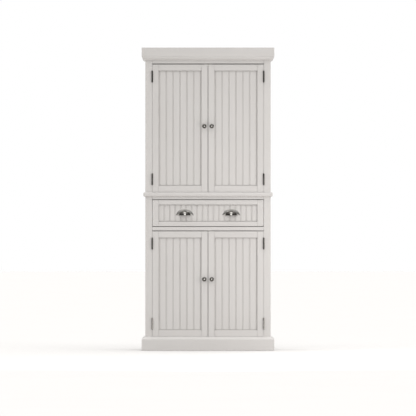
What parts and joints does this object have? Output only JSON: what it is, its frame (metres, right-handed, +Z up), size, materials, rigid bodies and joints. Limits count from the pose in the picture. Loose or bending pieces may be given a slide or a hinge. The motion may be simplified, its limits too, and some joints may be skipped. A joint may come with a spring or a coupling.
{
  "type": "pantry cabinet",
  "caption": "Tall freestanding pantry cabinet: beadboard doors above and below a wide drawer, with crown, waist and plinth mouldings and adjustable shelves inside.",
  "frame": {"origin": "centre of the plinth's footprint, on the floor", "axes": "+Z up, the doors and drawer face -Y, +X to the right of a person facing the cabinet"},
  "size_m": [0.806, 0.409, 1.842],
  "materials": {
    "painted_wood": "satin off-white paint",
    "bare_wood": "clear-lacquered light wood",
    "aged_pewter": "dark antique pewter, worn brighter on high spots",
    "zinc_steel": "zinc plated",
    "catch_plastic": "moulded plastic"
  },
  "bodies": {
    "carcass": {"adjustable_shelves": "painted_wood", "back_panel": "painted_wood", "back_rails": "painted_wood", "bottom_frame_rail": "painted_wood", "bottom_panel": "painted_wood", "crown_moulding": "painted_wood", "drawer_divider": "painted_wood", "drawer_frame_rail": "painted_wood", "frame_hinge_leaves": "aged_pewter", "frame_hinge_screws": "aged_pewter", "hinge_pins": "aged_pewter", "left_frame_stile": "painted_wood", "left_side_panel": "painted_wood", "magnetic_catches": "catch_plastic", "middle_panel": "painted_wood", "plinth_boards": "painted_wood", "right_frame_stile": "painted_wood", "right_side_panel": "painted_wood", "runner_case_members": "zinc_steel", "runner_packing_rails": "bare_wood", "shelf_pins": "zinc_steel", "top_frame_rail": "painted_wood", "top_panel": "painted_wood", "top_stretcher": "painted_wood", "waist_frame_rail": "painted_wood", "waist_moulding": "painted_wood"},
    "upper_left_door": {"upper_left_fixings": "aged_pewter", "upper_left_hinge_leaves": "aged_pewter", "upper_left_knob": "aged_pewter", "upper_left_panel": "painted_wood", "upper_left_rails": "painted_wood", "upper_left_stiles": "painted_wood"},
    "upper_right_door": {"upper_right_fixings": "aged_pewter", "upper_right_hinge_leaves": "aged_pewter", "upper_right_knob": "aged_pewter", "upper_right_panel": "painted_wood", "upper_right_rails": "painted_wood", "upper_right_stiles": "painted_wood"},
    "lower_left_door": {"lower_left_fixings": "aged_pewter", "lower_left_hinge_leaves": "aged_pewter", "lower_left_knob": "aged_pewter", "lower_left_panel": "painted_wood", "lower_left_rails": "painted_wood", "lower_left_stiles": "painted_wood"},
    "lower_right_door": {"lower_right_fixings": "aged_pewter", "lower_right_hinge_leaves": "aged_pewter", "lower_right_knob": "aged_pewter", "lower_right_panel": "painted_wood", "lower_right_rails": "painted_wood", "lower_right_stiles": "painted_wood"},
    "drawer": {"drawer_bottom": "bare_wood", "drawer_ends": "bare_wood", "drawer_front_frame": "painted_wood", "drawer_front_panel": "painted_wood", "drawer_screws": "zinc_steel", "drawer_sides": "bare_wood", "left_cup_pull": "aged_pewter", "right_cup_pull": "aged_pewter", "runner_drawer_members": "zinc_steel"},
    "runner_middles": {"runner_middle_members": "zinc_steel"}
  },
  "joints": [
    {"name": "upper_left_door_swing", "type": "hinge", "parent": "carcass", "child": "upper_left_door", "pos_m": [-0.3389, -0.1858, 0], "axis": [0, 0, -1], "range_deg": [0, 170]},
    {"name": "upper_right_door_swing", "type": "hinge", "parent": "carcass", "child": "upper_right_door", "pos_m": [0.3389, -0.1858, 0], "axis": [0, 0, 1], "range_deg": [0, 170]},
    {"name": "lower_left_door_swing", "type": "hinge", "parent": "carcass", "child": "lower_left_door", "pos_m": [-0.3389, -0.1858, 0], "axis": [0, 0, -1], "range_deg": [0, 170]},
    {"name": "lower_right_door_swing", "type": "hinge", "parent": "carcass", "child": "lower_right_door", "pos_m": [0.3389, -0.1858, 0], "axis": [0, 0, 1], "range_deg": [0, 170]},
    {"name": "drawer_slide", "type": "slide", "parent": "carcass", "child": "drawer", "axis": [0, -1, 0], "range_m": [0, 0.28]},
    {"name": "runner_middle_slide", "type": "slide", "parent": "carcass", "child": "runner_middles", "axis": [0, -1, 0], "range_m": [0, 0.14]}
  ],
  "couplings": [
    {"joint": "runner_middle_slide", "follows": "drawer_slide", "ratio": 0.5}
  ]
}
